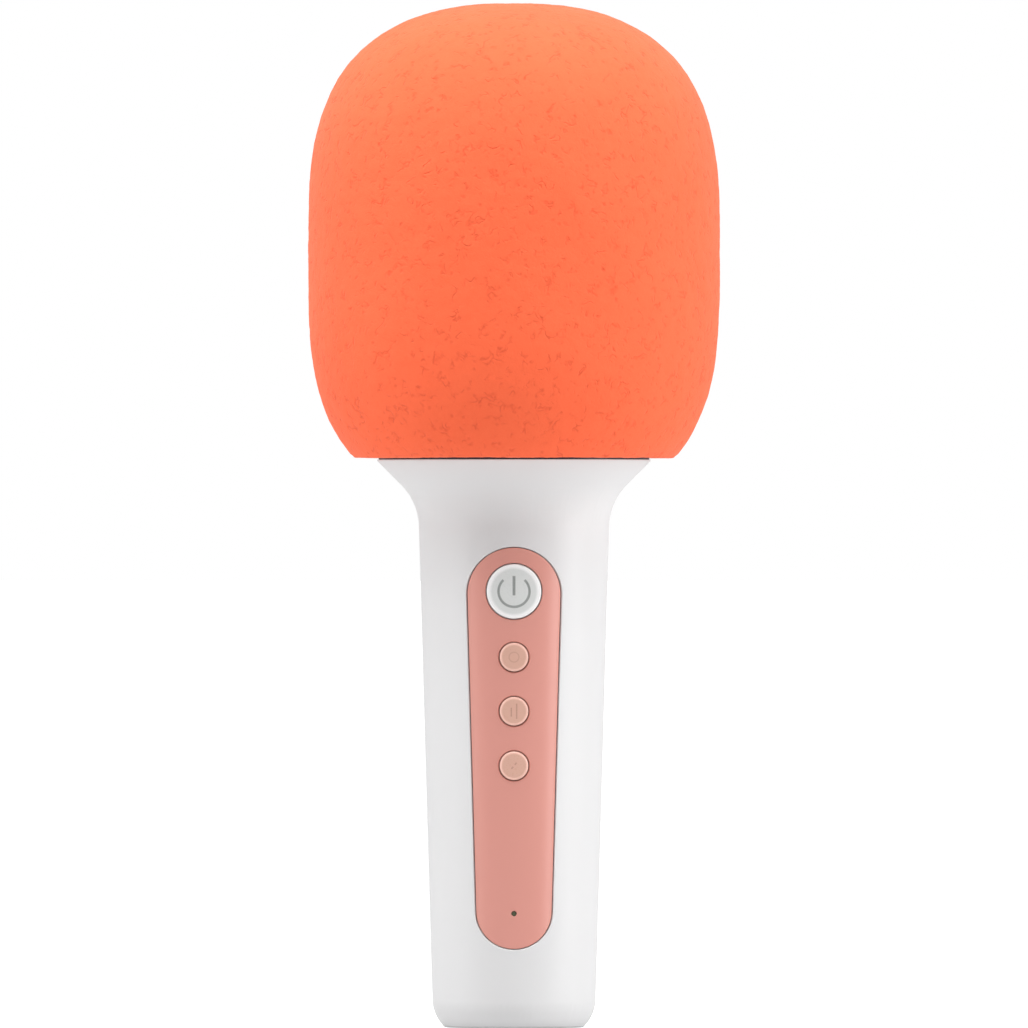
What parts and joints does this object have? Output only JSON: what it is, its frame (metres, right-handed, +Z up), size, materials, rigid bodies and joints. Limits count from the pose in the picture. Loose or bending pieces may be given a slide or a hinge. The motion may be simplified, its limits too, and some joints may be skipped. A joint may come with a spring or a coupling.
{
  "type": "toy microphone",
  "caption": "Cordless toy singing microphone with a rounded foam head, a flared cone grip, an inset key panel and a charging port in its flat foot.",
  "frame": {"origin": "centre of the flat foot, on the surface that the microphone stands on", "axes": "+Z up along the grip towards the foam head; -Y is the front, with the key panel; +X is to the right seen from the front"},
  "size_m": [0.093, 0.093, 0.23],
  "materials": {
    "foam": "open-cell foam, fine matte grain",
    "shell_white": "white satin moulded plastic",
    "panel_pink": "rose-pink satin moulded plastic",
    "key_white": "white satin key cap",
    "key_pink": "pale rose satin key cap",
    "grille_plastic": "dark blue-grey moulded plastic",
    "mesh_steel": "fine woven wire cloth",
    "screw_steel": "zinc-plated steel",
    "frame_black": "black moulded plastic",
    "boot_rubber": "soft black rubber",
    "capsule_can": "satin aluminium can",
    "felt": "black felt",
    "speaker_steel": "pressed steel, dull plating",
    "ferrite": "dark sintered ferrite",
    "cone_paper": "black pressed paper",
    "coil_copper": "enamelled copper winding",
    "spider_cloth": "resin-stiffened cloth",
    "gasket_foam": "thin closed-cell foam",
    "board_green": "green solder mask",
    "chip_black": "black moulding compound",
    "socket_cream": "cream nylon",
    "switch_grey": "dark grey nylon",
    "plunger_white": "white acetal",
    "led_lens": "clear epoxy",
    "light_guide": "smoky clear acrylic",
    "cell_wrap": "blue shrink sleeve",
    "nickel": "nickel strip",
    "usb_steel": "drawn stainless shell",
    "wire_sleeve": "PVC insulation"
  },
  "bodies": {
    "handle": {"grille_cage": "grille_plastic", "cage_screws": "screw_steel", "mesh_liner": "mesh_steel", "speaker_baffle": "grille_plastic", "baffle_screws": "screw_steel", "capsule_bridge": "frame_black", "capsule_boot": "boot_rubber", "mic_capsule": "capsule_can", "capsule_felt": "felt", "speaker_frame": "speaker_steel", "speaker_top_plate": "speaker_steel", "speaker_magnet": "ferrite", "speaker_yoke": "speaker_steel", "voice_coil": "coil_copper", "speaker_cone": "cone_paper", "dust_cap": "cone_paper", "speaker_surround": "boot_rubber", "speaker_spider": "spider_cloth", "speaker_gasket": "gasket_foam", "front_shell": "shell_white", "rear_shell": "shell_white", "handle_screws": "screw_steel", "base_cap": "shell_white", "control_panel": "panel_pink", "light_pipe": "light_guide", "status_led": "led_lens", "switch_bodies": "switch_grey", "switch_board": "board_green", "board_chips": "chip_black", "board_passives": "socket_cream", "board_connectors": "socket_cream", "board_screws": "screw_steel", "battery_cell": "cell_wrap", "battery_cradle": "frame_black", "battery_tabs": "nickel", "battery_pad": "gasket_foam", "usb_board": "board_green", "usb_socket": "usb_steel", "usb_tongue": "frame_black", "battery_leads": "wire_sleeve", "speaker_leads": "wire_sleeve", "mic_lead": "boot_rubber", "usb_leads": "wire_sleeve"},
    "windscreen": {"foam_windscreen": "foam"},
    "power_button": {"power_key": "key_white", "power_plunger": "plunger_white"},
    "upper_button": {"upper_key": "key_pink", "upper_plunger": "plunger_white"},
    "middle_button": {"middle_key": "key_pink", "middle_plunger": "plunger_white"},
    "lower_button": {"lower_key": "key_pink", "lower_plunger": "plunger_white"}
  },
  "joints": [
    {"name": "windscreen_pull", "type": "slide", "parent": "handle", "child": "windscreen", "axis": [0, 0, 1], "range_m": [0, 0.09]},
    {"name": "power_press", "type": "slide", "parent": "handle", "child": "power_button", "axis": [0, 1, 0], "range_m": [0, 0.0005], "stiffness_N_per_m": 1500, "springref_m": -0.0005},
    {"name": "upper_press", "type": "slide", "parent": "handle", "child": "upper_button", "axis": [0, 1, 0], "range_m": [0, 0.0005], "stiffness_N_per_m": 1500, "springref_m": -0.0005},
    {"name": "middle_press", "type": "slide", "parent": "handle", "child": "middle_button", "axis": [0, 1, 0], "range_m": [0, 0.0005], "stiffness_N_per_m": 1500, "springref_m": -0.0005},
    {"name": "lower_press", "type": "slide", "parent": "handle", "child": "lower_button", "axis": [0, 1, 0], "range_m": [0, 0.0005], "stiffness_N_per_m": 1500, "springref_m": -0.0005}
  ]
}
